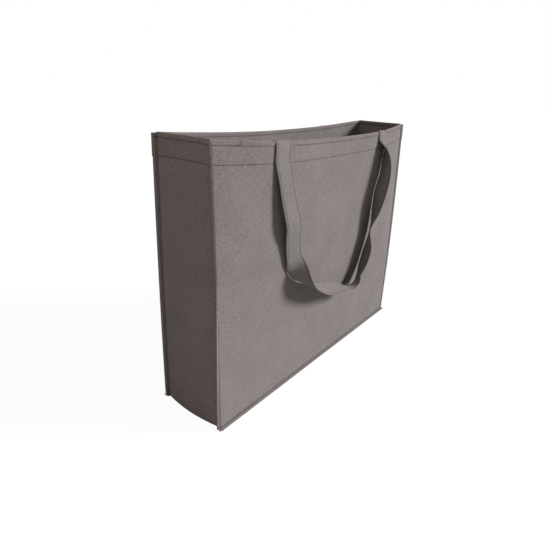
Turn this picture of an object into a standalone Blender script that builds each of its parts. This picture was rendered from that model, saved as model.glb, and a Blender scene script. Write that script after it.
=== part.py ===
"""Foldable tote bag in woven cloth: two panels, a gusset strip that folds inward, and two strap handles.

The bag stands on its base with the mouth up. X runs along the front panel to the right, Y runs from the
front panel to the back one, and Z is up. The origin is on the floor, under the middle of the bag. Every
length is in metres. Where a function takes `side`, -1 is the front (or left) and +1 the back (or right).
"""

import math

import bmesh
import bpy
from mathutils import Matrix, Vector

# Driving dimensions of the bag.
WIDTH = 0.450
DEPTH = 0.100
HEIGHT = 0.350
CLOTH = 0.0012  # one layer of cloth
GAP = 0.0003  # air between pieces that touch on the real bag
RIM_SAG = 0.009  # the rim of a panel hangs lower at mid width
HEM_DEPTH = 0.0265
HEM_SLIT = 0.0004  # air between the two layers of the turned hem
PANEL_HEM_INSET = 0.016  # the turned layer stops short of the side seams
GUSSET_HEM_INSET = 0.014
SEAM_REACH = 0.0034  # how far the seam allowance stands out along X and along Y
FLOOR_SEAM_REACH = 0.0048  # the allowance along the floor lies flat
SEAM_RELIEF = 0.008  # height over which the standing allowance turns into the lying one
CORNER_DEPTH_SHARE = 0.85  # share of each reach that is left where both allowances meet at a corner
CORNER_WIDTH_SHARE = 0.8
MITRE_ROOM = 0.005  # room between a base half's mitred end and the side wall that folds past it
DART_TIP = 0.001  # a corner dart starts this far from the panel
RIM_STEPS = 14

# Sewing thread, laid just clear of the cloth.
THREAD = 0.0005
UPPER_ROW = 0.006
LOWER_ROW = 0.025
SEAM_ROW = 0.6  # place of the seam row across the allowance, from the panel to its edge
ROW_END = 0.0035  # the rows on a side wall stop this far from the crease

# Strap handles.
STRAP_WIDTH = 0.028
STRAP_THICK = 0.002
STRAP_ROW = 0.003  # distance of the stitch row from the strap's edge
STRAP_ROW_LIFT = 0.0014  # room between the row and the strap's face where the strap twists
STRAP_ROW_START = 0.010  # the rows start this far below the bends
STRAP_STEPS = 4  # sections between two stations of the route
STRAP_SPREAD = 0.127  # from the bag's middle to the middle of a sewn end
STRAP_OUT = DEPTH / 2 + 0.0025  # middle of the front strap's thickness where it hangs from the rim
STRAP_IN = DEPTH / 2 - 0.0041  # middle of its thickness where it is sewn behind the hem
BACK_STRAP_OUT = DEPTH / 2 + 0.0055  # the back strap is sewn to the outside of its panel
BACK_STRAP_IN = DEPTH / 2 + 0.0021
BACK_STRAP_TOP = 0.3405  # height of the back strap's bend, below the rim
STRAP_TAIL = 0.026  # length of the sewn end below the bend
STRAP_START = 0.0008  # the hanging part starts this far below the bend
RIM_CLEARANCE = 0.0004
BEND_STEPS = 6  # sections of the bend

# Route of a hanging strap between its two bends, from its left leg to its right one: how far along X, how far
# out from the bag's middle plane, the height, and the direction across the strap from its bag-side edge to
# its free edge.
STRAP_ROUTE = (
    ((-0.122, 0.0565, 0.300), (1.0, 0.0, 0.0)),
    ((-0.116, 0.0600, 0.270), (1.0, 0.05, 0.0)),
    ((-0.110, 0.0620, 0.245), (1.0, 0.08, 0.0)),
    ((-0.104, 0.0600, 0.220), (1.0, 0.08, 0.0)),
    ((-0.097, 0.0580, 0.195), (1.0, 0.1, 0.0)),
    ((-0.089, 0.0590, 0.175), (0.95, 0.3, 0.0)),
    ((-0.075, 0.0645, 0.157), (0.6, 0.8, -0.1)),
    ((-0.052, 0.0660, 0.144), (0.2, 1.0, -0.2)),
    ((-0.020, 0.0670, 0.133), (0.05, 1.0, -0.2)),
    ((0.020, 0.0665, 0.122), (-0.1, 1.0, 0.0)),
    ((0.050, 0.0656, 0.112), (-0.5, 0.8, 0.25)),
    ((0.076, 0.0638, 0.114), (-0.75, 0.55, 0.35)),
    ((0.093, 0.0630, 0.135), (-0.65, 0.75, 0.15)),
    ((0.102, 0.0635, 0.158), (-0.63, 0.77, 0.0)),
    ((0.112, 0.0600, 0.195), (-0.9, 0.43, 0.0)),
    ((0.116, 0.0635, 0.225), (-0.6, 0.8, 0.0)),
    ((0.119, 0.0655, 0.250), (-0.4, 0.92, 0.0)),
    ((0.128, 0.0655, 0.280), (-0.5, 0.87, 0.0)),
    ((0.131, 0.0630, 0.303), (-0.65, 0.76, 0.0)),
    ((0.130, 0.0588, 0.322), (-0.9, 0.43, 0.0)),
)
LEFT_LEG_PLACE = 0.325  # height at which the left leg still hangs straight
RIGHT_LEG_PLACE = 0.334
RIGHT_LEG_SLACK = 0.0007  # how far it stands out there
CLEAR_ABOVE = 0.29  # above this height a strap that bends further out runs further out

# Values that follow from the driving dimensions.
HALF_WIDTH = WIDTH / 2
HALF_DEPTH = DEPTH / 2
INNER_WIDTH = HALF_WIDTH - CLOTH
INNER_DEPTH = HALF_DEPTH - CLOTH
MITRE_SHIFT = CLOTH * math.tan(math.radians(22.5))
FLANGE_SHIFT = CLOTH * math.sqrt(0.5)
THREAD_LIFT = GAP + THREAD / 2


def clear_scene():
    for old in list(bpy.data.objects):
        bpy.data.objects.remove(old, do_unlink=True)


def material(name, colour, roughness):
    made = bpy.data.materials.new(name)
    made.use_nodes = True
    shader = made.node_tree.nodes["Principled BSDF"]
    shader.inputs["Base Color"].default_value = (*colour, 1.0)
    shader.inputs["Roughness"].default_value = roughness
    shader.inputs["Metallic"].default_value = 0.0
    return made


def pivot(name, place, parent=None):
    """An empty on a hinge line. What moves about that line is parented to it."""
    empty = bpy.data.objects.new(name, None)
    bpy.context.scene.collection.objects.link(empty)
    empty.location = Vector(place) - (parent.matrix_world.translation if parent else Vector())
    empty.parent = parent
    bpy.context.view_layer.update()
    return empty


def attach(obj, body, finish):
    """Links a piece that was drawn in world coordinates, and hangs it on its body's pivot."""
    bpy.context.scene.collection.objects.link(obj)
    obj.data.materials.append(finish)
    obj.data.transform(Matrix.Translation(-body.matrix_world.translation))
    obj.parent = body
    return obj


def cloth_piece(name, outer, inner, cells, body, finish):
    """One closed layer of cloth between two matching grids of points, keyed by (column, row)."""
    mesh = bmesh.new()
    keys = {(i + a, j + b) for i, j in cells for a in (0, 1) for b in (0, 1)}
    top = {key: mesh.verts.new(outer[key]) for key in sorted(keys)}
    under = {key: mesh.verts.new(inner[key]) for key in sorted(keys)}
    for i, j in cells:
        corners = ((i, j), (i + 1, j), (i + 1, j + 1), (i, j + 1))
        mesh.faces.new([top[key] for key in corners])
        mesh.faces.new([under[key] for key in reversed(corners)])
    partner = {top[key]: under[key] for key in keys}
    rim = [edge for edge in mesh.edges if edge.is_boundary and edge.verts[0] in partner]
    for edge in rim:
        first, second = edge.verts
        mesh.faces.new((first, second, partner[second], partner[first]))
    bmesh.ops.recalc_face_normals(mesh, faces=mesh.faces)
    data = bpy.data.meshes.new(name)
    mesh.to_mesh(data)
    mesh.free()
    return attach(bpy.data.objects.new(name, data), body, finish)


def thread_row(name, points, body, finish):
    """A row of stitches as one continuous thread through the points."""
    curve = bpy.data.curves.new(name, "CURVE")
    curve.dimensions = "3D"
    curve.bevel_depth = THREAD / 2
    curve.bevel_resolution = 0
    curve.use_fill_caps = True
    spline = curve.splines.new("POLY")
    spline.points.add(len(points) - 1)
    for point, place in zip(spline.points, points):
        point.co = (*place, 1.0)
    return attach(bpy.data.objects.new(name, curve), body, finish)


def rim_height(x):
    return HEIGHT - RIM_SAG * (1.0 - (x / HALF_WIDTH) ** 2)


# Panels: front and back, each with its turned hem and its seam allowance.


def panel_columns():
    """X of each column of a panel, with one column where the turned hem starts and ends."""
    reach = HALF_WIDTH - PANEL_HEM_INSET
    middle = [reach * (2 * k / RIM_STEPS - 1) for k in range(RIM_STEPS + 1)]
    return [-HALF_WIDTH, *middle, HALF_WIDTH]


def panel_grids(side):
    """Outer and inner points of a panel. Column 0 and the last are the edges of the standing allowance, and
    row 0 is the edge of the one on the floor. Rows 5 and 6 are the hem, turned over the rim."""
    columns = panel_columns()
    last = len(columns) + 1
    outer = {}
    inner = {}
    for i in range(last + 1):
        hand = -1 if i == 0 else 1
        edge = i in (0, last)
        x = columns[min(max(i - 1, 0), len(columns) - 1)]
        top = rim_height(x)
        out_x = x + hand * SEAM_REACH if edge else x
        out_y = HALF_DEPTH + SEAM_REACH if edge else HALF_DEPTH
        in_x = out_x
        in_y = INNER_DEPTH
        if edge:
            in_x = out_x + hand * FLANGE_SHIFT
            in_y = out_y - FLANGE_SHIFT
        elif abs(x) == HALF_WIDTH:
            in_x = x + math.copysign(MITRE_SHIFT, x)
        floor_y = HALF_DEPTH + FLOOR_SEAM_REACH * (CORNER_DEPTH_SHARE if edge else 1.0)
        floor_x = x + hand * SEAM_REACH * CORNER_WIDTH_SHARE if edge else x
        outer[i, 0] = (floor_x, side * floor_y, CLOTH)
        inner[i, 0] = (floor_x, side * floor_y, 0.0)
        for j, height in ((1, CLOTH), (2, SEAM_RELIEF), (3, top - HEM_DEPTH), (4, top)):
            outer[i, j] = (out_x, side * out_y, height)
            inner[i, j] = (in_x, side * in_y, 0.0 if j == 1 else height)
        if 2 <= i <= last - 2:
            inner[i, 4] = (x, side * INNER_DEPTH, top - CLOTH)
            turned = INNER_DEPTH - HEM_SLIT
            for j, height in ((5, top), (6, top - HEM_DEPTH)):
                outer[i, j] = (x, side * (turned - CLOTH), height)
                inner[i, j] = (x, side * turned, height - CLOTH if j == 5 else height)
    return outer, inner, last


def panel(name, side, body, finish):
    outer, inner, last = panel_grids(side)
    cells = [(i, j) for i in range(last) for j in range(4)]
    cells += [(i, j) for i in range(2, last - 2) for j in (4, 5)]
    cloth_piece(name, outer, inner, cells, body, finish)


def panel_threads(name, side, body, finish):
    """Two rows along the hem, and the closing seam round the sides and the bottom."""
    face = side * (HALF_DEPTH + THREAD_LIFT)
    for row, drop in (("upper", UPPER_ROW), ("lower", LOWER_ROW)):
        points = [(x, face, rim_height(x) - drop) for x in panel_columns()[1:-1]]
        thread_row(f"{name}_hem_thread_{row}", points, body, finish)
    stand = SEAM_REACH * SEAM_ROW
    lift = THREAD_LIFT * math.sqrt(0.5)
    seam_x = HALF_WIDTH + stand - lift
    seam_y = side * (HALF_DEPTH + stand + lift)
    floor_y = side * (HALF_DEPTH + FLOOR_SEAM_REACH * SEAM_ROW)
    low = CLOTH + THREAD_LIFT
    inset = HALF_WIDTH - GAP
    points = [
        (-seam_x, seam_y, HEIGHT - UPPER_ROW),
        (-seam_x, seam_y, SEAM_RELIEF),
        (-inset, floor_y, low),
        (inset, floor_y, low),
        (seam_x, seam_y, SEAM_RELIEF),
        (seam_x, seam_y, HEIGHT - UPPER_ROW),
    ]
    thread_row(f"{name}_seam_thread", points, body, finish)


# Gusset: the two side walls and the base, each in two halves that meet at the crease in the middle.


def side_wall_half(name, hand, side, body, finish):
    """Half of a side wall, from the panel's seam to the crease, with its turned hem."""
    seam = INNER_DEPTH - GAP
    crease = GAP / 2
    turned = HALF_WIDTH - CLOTH - HEM_SLIT
    heights = {0: 0.0, 1: HEIGHT - HEM_DEPTH, 2: HEIGHT}
    outer = {}
    inner = {}
    for i, depth in enumerate((seam, INNER_DEPTH - GUSSET_HEM_INSET, crease)):
        y = side * depth
        for j, height in heights.items():
            hemmed = j == 2 and i > 0
            outer[i, j] = (hand * HALF_WIDTH, y, height)
            inner[i, j] = (hand * INNER_WIDTH, y, height - CLOTH if hemmed else height)
        for j, height in ((3, HEIGHT), (4, HEIGHT - HEM_DEPTH)):
            outer[i, j] = (hand * (turned - CLOTH), y, height)
            inner[i, j] = (hand * turned, y, height - CLOTH if j == 3 else height)
    cells = [(0, 0), (0, 1), (1, 0), (1, 1), (1, 2), (1, 3)]
    cloth_piece(name, outer, inner, cells, body, finish)


def side_wall_threads(name, hand, side, body, finish):
    face = hand * (HALF_WIDTH + THREAD_LIFT)
    for row, drop in (("upper", UPPER_ROW), ("lower", LOWER_ROW)):
        ends = (side * (INNER_DEPTH - 2 * GAP), side * ROW_END)
        points = [(face, y, HEIGHT - drop) for y in ends]
        thread_row(f"{name}_hem_thread_{row}", points, body, finish)


def base_half(name, side, body, finish):
    """Half of the base, mitred at both ends so that it can rise between the folding side walls."""
    outer = {}
    inner = {}
    for j, depth in enumerate((INNER_DEPTH - GAP, GAP / 2)):
        end = INNER_WIDTH - MITRE_ROOM - (INNER_DEPTH - depth)
        for i, hand in enumerate((-1, 1)):
            outer[i, j] = (hand * end, side * depth, 0.0)
            inner[i, j] = (hand * end, side * depth, CLOTH)
    cloth_piece(name, outer, inner, [(0, 0)], body, finish)


def base_corner(name, hand, side, body, finish):
    """The dart of cloth that closes the base at a corner and tucks up as the bag folds."""
    wall = INNER_WIDTH - GAP
    outer = {}
    inner = {}
    for j, reach in enumerate((DART_TIP, INNER_DEPTH - GAP / 2)):
        depth = INNER_DEPTH - reach
        for i, x in enumerate((wall, INNER_WIDTH - MITRE_ROOM + 1.5 * GAP - reach)):
            outer[i, j] = (hand * x, side * depth, 0.0)
            inner[i, j] = (hand * x, side * depth, CLOTH)
    cloth_piece(name, outer, inner, [(0, 0)], body, finish)


# Handles: a flat strap on each panel. The front one is sewn behind the hem and hangs over the rim, and the
# back one is sewn to the outside of its panel.


def between(before, start, end, after, share):
    """Catmull-Rom point between start and end."""
    swing = (end - before) / 2
    next_swing = (after - start) / 2
    drop = start - end
    cubic = 2 * drop + swing + next_swing
    square = -3 * drop - 2 * swing - next_swing
    return ((cubic * share + square) * share + swing) * share + start


def strap_sections(depth, bend_height):
    """Middle, direction across and outward direction of each section of a strap hanging from its bends."""
    top = bend_height - STRAP_START
    extra = depth - STRAP_OUT
    hanging = [
        ((x, out + (extra if height > CLEAR_ABOVE else 0.0), height), across)
        for (x, out, height), across in STRAP_ROUTE
    ]
    route = [
        ((-STRAP_SPREAD, depth, top), (1.0, 0.0, 0.0)),
        ((-STRAP_SPREAD, depth, LEFT_LEG_PLACE), (1.0, 0.0, 0.0)),
        *hanging,
        ((STRAP_SPREAD, depth + RIGHT_LEG_SLACK, RIGHT_LEG_PLACE), (-1.0, 0.0, 0.0)),
        ((STRAP_SPREAD, depth, top), (-1.0, 0.0, 0.0)),
    ]
    middles = [Vector(place) for place, _ in route]
    acrosses = [Vector(across).normalized() for _, across in route]
    places = []
    for values in (middles, acrosses):
        padded = [2 * values[0] - values[1], *values, 2 * values[-1] - values[-2]]
        smooth = []
        for k in range(len(values) - 1):
            steps = [s / STRAP_STEPS for s in range(STRAP_STEPS)]
            smooth += [between(*padded[k : k + 4], share) for share in steps]
        places.append([*smooth, values[-1]])
    sections = []
    for k, (middle, across) in enumerate(zip(*places)):
        before = places[0][max(k - 1, 0)]
        after = places[0][min(k + 1, len(places[0]) - 1)]
        along = (after - before).normalized()
        across = (across - along * across.dot(along)).normalized()
        sections.append((middle, across, across.cross(along)))
    return sections


def turned_to(side, point):
    """The route is drawn for a strap in front. The one at the back is the same strap, turned half round."""
    return (-side * point[0], side * point[1], point[2])


def strap(name, side, depth, bend_height, body, finish, thread_finish):
    sections = strap_sections(depth, bend_height)
    outer = {}
    inner = {}
    for j, (middle, across, out) in enumerate(sections):
        for i, reach in enumerate((-STRAP_WIDTH / 2, STRAP_WIDTH / 2)):
            edge = middle + across * reach
            outer[i, j] = turned_to(side, edge + out * (STRAP_THICK / 2))
            inner[i, j] = turned_to(side, edge - out * (STRAP_THICK / 2))
    cells = [(0, j) for j in range(len(sections) - 1)]
    cloth_piece(name, outer, inner, cells, body, finish)
    lift = STRAP_THICK / 2 + STRAP_ROW_LIFT
    for row, hand in (("bag_side", -1), ("free_side", 1)):
        reach = hand * (STRAP_WIDTH / 2 - STRAP_ROW)
        points = [
            turned_to(side, middle + across * reach + out * lift)
            for middle, across, out in sections
            if middle.z < bend_height - STRAP_ROW_START
        ]
        thread_row(f"{name}_thread_{row}", points, body, thread_finish)


def strap_end(name, hand, side, sewn, hanging, height, body, finish):
    """A sewn end: up along the panel at the depth `sewn`, and round the bend to where the strap hangs."""
    radius = (hanging - sewn) / 2
    middle = (hanging + sewn) / 2
    path = [(sewn, height - STRAP_TAIL, 1.0, 0.0)]
    for step in range(BEND_STEPS + 1):
        angle = math.pi * step / BEND_STEPS
        lean = -math.cos(angle)
        path.append((middle + radius * lean, height + radius * math.sin(angle), -lean, math.sin(angle)))
    outer = {}
    inner = {}
    half = STRAP_THICK / 2
    for j, (depth, z, away_y, away_z) in enumerate(path):
        for i, reach in enumerate((-STRAP_WIDTH / 2, STRAP_WIDTH / 2)):
            x = hand * STRAP_SPREAD + reach
            outer[i, j] = (x, side * (depth - half * away_y), z + half * away_z)
            inner[i, j] = (x, side * (depth + half * away_y), z - half * away_z)
    cells = [(0, j) for j in range(len(path) - 1)]
    cloth_piece(name, outer, inner, cells, body, finish)


def main():
    clear_scene()
    cloth = material("woven_cloth", (0.19, 0.165, 0.155), 0.9)
    lining = material("woven_cloth_base", (0.16, 0.14, 0.13), 0.92)
    strap_cloth = material("strap_cloth", (0.20, 0.175, 0.165), 0.88)
    thread = material("sewing_thread", (0.05, 0.045, 0.04), 0.7)

    front = pivot("front_panel_body", (0.0, -INNER_DEPTH, CLOTH))
    panel("front_panel", -1, front, cloth)
    panel_threads("front", -1, front, thread)

    back = None
    for hand, place in ((-1, "left"), (1, "right")):
        seam = (hand * INNER_WIDTH, -INNER_DEPTH, 0.0)
        crease = (hand * HALF_WIDTH, 0.0, 0.0)
        near = pivot(f"{place}_front_seam_hinge", seam, front)
        far = pivot(f"{place}_crease_hinge", crease, near)
        for side, end, body in ((-1, "front", near), (1, "back", far)):
            name = f"gusset_{place}_{end}"
            side_wall_half(name, hand, side, body, cloth)
            side_wall_threads(name, hand, side, body, thread)
            dart = f"base_corner_{place}_{end}"
            fold = (hand * INNER_WIDTH, side * INNER_DEPTH / 2, CLOTH)
            base_corner(dart, hand, side, pivot(f"{dart}_hinge", fold, body), lining)
        if hand == -1:
            back = pivot("left_back_seam_hinge", (-INNER_WIDTH, INNER_DEPTH, 0.0), far)
    panel("back_panel", 1, back, cloth)
    panel_threads("back", 1, back, thread)

    base_near = pivot("base_front_seam_hinge", (0.0, -INNER_DEPTH, CLOTH), front)
    base_far = pivot("base_crease_hinge", (0.0, 0.0, 0.0), base_near)
    base_half("base_front", -1, base_near, lining)
    base_half("base_back", 1, base_far, lining)

    rim_bend = rim_height(STRAP_SPREAD) + RIM_CLEARANCE
    for side, end, body, sewn, hanging, height in (
        (-1, "front", front, STRAP_IN, STRAP_OUT, rim_bend),
        (1, "back", back, BACK_STRAP_IN, BACK_STRAP_OUT, BACK_STRAP_TOP),
    ):
        swing = pivot(f"{end}_handle_hinge", (0.0, side * (hanging + sewn) / 2, height), body)
        strap(f"{end}_handle", side, hanging, height, swing, strap_cloth, thread)
        for hand, hand_name in ((-1, "left"), (1, "right")):
            name = f"{end}_handle_end_{hand_name}"
            strap_end(name, hand, side, sewn, hanging, height, body, strap_cloth)


main()
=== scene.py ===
import math

import bpy
import numpy as np
from mathutils import Matrix, Vector


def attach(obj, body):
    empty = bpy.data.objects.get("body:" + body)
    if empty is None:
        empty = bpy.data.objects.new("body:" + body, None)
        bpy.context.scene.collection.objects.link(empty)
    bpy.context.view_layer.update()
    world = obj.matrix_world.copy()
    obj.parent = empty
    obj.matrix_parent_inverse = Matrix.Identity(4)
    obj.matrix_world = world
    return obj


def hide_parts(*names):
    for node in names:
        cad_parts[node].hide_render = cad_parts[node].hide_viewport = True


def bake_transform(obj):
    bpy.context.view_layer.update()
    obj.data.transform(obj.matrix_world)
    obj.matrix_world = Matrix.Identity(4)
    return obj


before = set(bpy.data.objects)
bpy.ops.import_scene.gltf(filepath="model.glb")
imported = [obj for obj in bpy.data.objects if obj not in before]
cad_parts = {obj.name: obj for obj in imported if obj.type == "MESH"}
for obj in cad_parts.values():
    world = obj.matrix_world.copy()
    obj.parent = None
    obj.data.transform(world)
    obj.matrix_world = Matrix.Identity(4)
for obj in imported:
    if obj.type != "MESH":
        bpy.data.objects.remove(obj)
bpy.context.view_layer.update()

# Studio. A pale floor that runs on past the view, a broad light from the right, in front and above, a weak
# warm lamp over the left side, and a dim warm surround. The camera looks at the bag's left front corner from
# a little above its mouth.
CAMERA_PLACE = Vector((-0.5413, -0.3622, 0.3992))
CAMERA_YAW = math.radians(53.0)
CAMERA_DROP = math.radians(22.82)
CAMERA_ROLL = math.radians(2.66)
CAMERA_LENS = 29.28
AIM = Vector((0.0, 0.0, 0.17))
KEY_FROM = Vector((0.62, -0.66, 0.38))
KEY_SPREAD = math.radians(16.0)
KEY_STRENGTH = 4.25
KEY_SHADE = (0.985, 1.0, 1.012)
TOP_PLACE = Vector((-0.85, -0.10, 1.65))
TOP_WIDTH = 1.2
TOP_WATTS = 7.0
TOP_SHADE = (1.0, 0.88, 0.82)
SURROUND_LIGHT = 0.17
SURROUND_SHADE = (1.0, 0.84, 0.77, 1.0)
FLOOR_SPAN = 30.0
FLOOR_LEVEL = -0.0002  # just under the base
FLOOR_PAINT = ((0.60, 0.60, 0.60, 1.0), (0.64, 0.64, 0.64, 1.0))
FLOOR_GLOW = 0.84  # share of the floor that shows as an evenly lit white sweep
SWEEP_BRIGHTNESS = 1.12
WHITE = (1.0, 1.0, 1.0, 1.0)

ahead = Vector((
    math.sin(CAMERA_YAW) * math.cos(CAMERA_DROP),
    math.cos(CAMERA_YAW) * math.cos(CAMERA_DROP),
    -math.sin(CAMERA_DROP),
))
level = Vector((math.cos(CAMERA_YAW), -math.sin(CAMERA_YAW), 0.0))
over = level.cross(ahead)
right = level * math.cos(CAMERA_ROLL) + over * math.sin(CAMERA_ROLL)
upward = over * math.cos(CAMERA_ROLL) - level * math.sin(CAMERA_ROLL)
camera_data = bpy.data.cameras.new("camera")
camera_data.lens = CAMERA_LENS
camera_data.clip_start = 0.01
camera = bpy.data.objects.new("camera", camera_data)
turn = Matrix((right, upward, -ahead)).transposed()
camera.matrix_world = Matrix.Translation(CAMERA_PLACE) @ turn.to_4x4()
bpy.context.scene.collection.objects.link(camera)
bpy.context.scene.camera = camera
bpy.context.scene.view_settings.view_transform = "Standard"

key_lamp = bpy.data.lights.new("key_light", "SUN")
key_lamp.energy = KEY_STRENGTH
key_lamp.angle = KEY_SPREAD
key_lamp.color = KEY_SHADE
key_light = bpy.data.objects.new("key_light", key_lamp)
key_light.location = AIM + 2 * KEY_FROM
key_light.rotation_euler = (-KEY_FROM).to_track_quat("-Z", "Y").to_euler()
top_lamp = bpy.data.lights.new("top_light", "AREA")
top_lamp.shape = "DISK"
top_lamp.size = TOP_WIDTH
top_lamp.energy = TOP_WATTS
top_lamp.color = TOP_SHADE
top_light = bpy.data.objects.new("top_light", top_lamp)
top_light.location = TOP_PLACE
top_light.rotation_euler = (AIM - TOP_PLACE).to_track_quat("-Z", "Y").to_euler()
for lamp_object in (key_light, top_light):
    bpy.context.scene.collection.objects.link(lamp_object)


class Signal:
    """One output in a node tree. Sums on it add Math nodes, and add() makes any other node."""

    def __init__(self, tree, socket=None):
        self.tree = tree
        self.socket = socket

    def add(self, kind, settings, inputs, out=0):
        node = self.tree.nodes.new("ShaderNode" + kind)
        for key, value in settings.items():
            if key == "stops":
                ramp = node.color_ramp.elements
                while len(ramp) < len(value):
                    ramp.new(0.5)
                for stop, (place, colour) in zip(ramp, value):
                    stop.position = place
                    stop.color = (*colour, 1.0)
            else:
                setattr(node, key, value)
        for key, value in inputs.items():
            if isinstance(value, Signal):
                self.tree.links.new(value.socket, node.inputs[key])
            else:
                node.inputs[key].default_value = value
        return Signal(self.tree, node.outputs[out])

    def sum(self, operation, first, second):
        return self.add("Math", {"operation": operation}, {0: first, 1: second})

    def __add__(self, other):
        return self.sum("ADD", self, other)

    def __radd__(self, other):
        return self.sum("ADD", other, self)

    def __sub__(self, other):
        return self.sum("SUBTRACT", self, other)

    def __rsub__(self, other):
        return self.sum("SUBTRACT", other, self)

    def __mul__(self, other):
        return self.sum("MULTIPLY", self, other)

    def __rmul__(self, other):
        return self.sum("MULTIPLY", other, self)


def new_material(name):
    """A material, its shader node and a Signal to start from."""
    made = bpy.data.materials.new(name)
    made.use_nodes = True
    shader = made.node_tree.nodes["Principled BSDF"]
    shader.inputs["Metallic"].default_value = 0.0
    return made, shader, Signal(made.node_tree)


def feed(start, shader, **inputs):
    for key, signal in inputs.items():
        start.tree.links.new(signal.socket, shader.inputs[key.replace("_", " ")])


world = bpy.data.worlds.new("surround")
world.use_nodes = True
bpy.context.scene.world = world
sky = Signal(world.node_tree)
seen = sky.add("LightPath", {}, {}, "Is Camera Ray")
background = world.node_tree.nodes["Background"]
shade = sky.add("Mix", {"data_type": "RGBA"}, {0: seen, 6: SURROUND_SHADE, 7: WHITE}, 2)
strength = seen * (1.0 - SURROUND_LIGHT) + SURROUND_LIGHT
world.node_tree.links.new(shade.socket, background.inputs["Color"])
world.node_tree.links.new(strength.socket, background.inputs["Strength"])

floor_mesh = bpy.data.meshes.new("floor")
far = FLOOR_SPAN / 2
floor_mesh.from_pydata([(-far, -far, 0), (far, -far, 0), (far, far, 0), (-far, far, 0)], [], [(0, 1, 2, 3)])
floor = bpy.data.objects.new("floor", floor_mesh)
floor.location.z = FLOOR_LEVEL
bpy.context.scene.collection.objects.link(floor)
floor_finish, shader, start = new_material("floor_paint")
mottle = start.add("TexNoise", {}, {"Scale": 3.0, "Detail": 2.0})
tone = start.add("Mix", {"data_type": "RGBA"}, {0: mottle, 6: FLOOR_PAINT[0], 7: FLOOR_PAINT[1]}, 2)
feed(start, shader, Base_Color=tone)
shader.inputs["Roughness"].default_value = 0.9
glow = start.add("Emission", {}, {"Color": WHITE, "Strength": SWEEP_BRIGHTNESS})
facing = start.add("LightPath", {}, {}, "Is Camera Ray")
matt = Signal(start.tree, shader.outputs[0])
sweep = start.add("MixShader", {}, {0: facing * FLOOR_GLOW, 1: matt, 2: glow})
start.tree.links.new(sweep.socket, start.tree.nodes["Material Output"].inputs["Surface"])
floor_mesh.materials.append(floor_finish)

# Front and back panels. Each is one rectangle of woven cloth in taupe and grey yarns. Its top is turned in
# as a deep hem, and its other three edges are sewn to the gusset strip with the allowance standing outside.
TALL = 0.350
CLOTH = 0.0011
FOOT = 0.0026  # height of the line where the panel turns out into the bottom allowance
FOOT_WIDTH = 0.2240  # half width at the bottom, to the side seams
TOP_FLARE = 0.0036  # the mouth is a little wider than the foot
FOOT_DEPTH = 0.0495  # half depth at the bottom
MOUTH_PULL = 0.0085  # the mouth's corners draw together
MOUTH_BOW = {-1: 0.0042, 1: 0.0015}  # and its middle bows out, more at the front
RIM_SAG = 0.0085  # the rim's middle hangs this far below its corners
HEM = 0.026
HEM_GAP = 0.0002  # between the panel and its turned hem
UPPER_ROW = 0.0055  # distances of the two hem rows below the rim
LOWER_ROW = 0.0245
GROOVE_WIDTH = 0.0006  # of the groove that a hem row pulls into the cloth
GROOVE_DEPTH = 0.00028
PUCKER_HEIGHT = 0.00009
ALLOWANCE = 0.0046
FOOT_OUT = 0.97  # the bottom allowance leans outward and a little down
FOOT_DOWN = 0.33
HEM_EXTRA = 0.0008  # the allowance is wider where the hem is folded into it
CORNER_PULL = 0.0035  # the right front corner is drawn in further
STRAP_DIP = 0.0019  # the rim is drawn down under a strap that passes over it
STRAP_DIP_WIDTH = 0.016
STRAP_PLACE = 0.127
COLUMN_STEP = 0.0026  # spacing of the mesh
ROW_STEP = 0.0032
EDGE_COLUMNS = (0.0035, 0.0012)
FOLD_SHADE = 0.0012  # breadth of the painted shade line where a seam is pulled in
YARN_PITCH = 0.00085
SHARP_EDGE = math.radians(50)
CLOTH_PALE = (0.262, 0.233, 0.223)
CLOTH_DARK = (0.094, 0.080, 0.075)

# How far each side allowance leans out from the side to the front or back, in degrees, at heights up a seam.
LEAN_HEIGHTS = (0.0, 0.04, 0.10, 0.22, 0.35)
LEAN = {
    (-1, -1): (-14, -12, 8, 50, 56),
    (-1, 1): (10, 10, 18, 22, 25),
    (1, -1): (60, 66, 70, 74, 76),
    (1, 1): (35, 40, 45, 45, 50),
}

fold_radius = (CLOTH + HEM_GAP) / 2
rim_line = TALL - fold_radius - CLOTH / 2
fold_length = math.pi * fold_radius


def ease(value, low, high):
    share = np.clip((value - low) / (high - low), 0.0, 1.0)
    return share * share * (3 - 2 * share)


def half_width(z):
    return FOOT_WIDTH + TOP_FLARE * z / TALL


def rim_drop(side, x):
    dip = STRAP_DIP * np.exp(-(((np.abs(x) - STRAP_PLACE) / STRAP_DIP_WIDTH) ** 4)) * (side < 0)
    return RIM_SAG * (1 - np.clip(np.abs(x) / half_width(TALL), 0, 1) ** 2) + dip


def corner_depth(side, x, z):
    pull = MOUTH_PULL + CORNER_PULL * (np.sign(x) > 0) * (np.asarray(side) < 0)
    return FOOT_DEPTH - pull * np.clip(z / TALL, 0, 1) ** 1.6


def panel_depth(side, x, z):
    """Distance of a panel's outer face from the bag's middle plane, with the cloth's slow waves."""
    u = np.clip(np.abs(x) / half_width(z), 0, 1)
    v = np.clip(z / TALL, 0, 1)
    corner = corner_depth(side, x, z)
    middle = FOOT_DEPTH + MOUTH_BOW[side] * v**2
    wave = 0.0006 * np.sin(x / 0.031 + side + 1.4 * np.sin(z / 0.058)) * (0.35 + v)
    wave = wave + 0.0004 * np.sin(z / 0.023 + 2.1 * np.sin(x / 0.075 + side))
    wave = wave + 0.0007 * np.sin(x / 0.052 + 2.0 * side) * ease(z, 0.20, 0.35)
    return corner + (middle - corner) * (1 - u**4) + wave * (1 - u**6) * ease(z, 0.0, 0.03)


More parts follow.
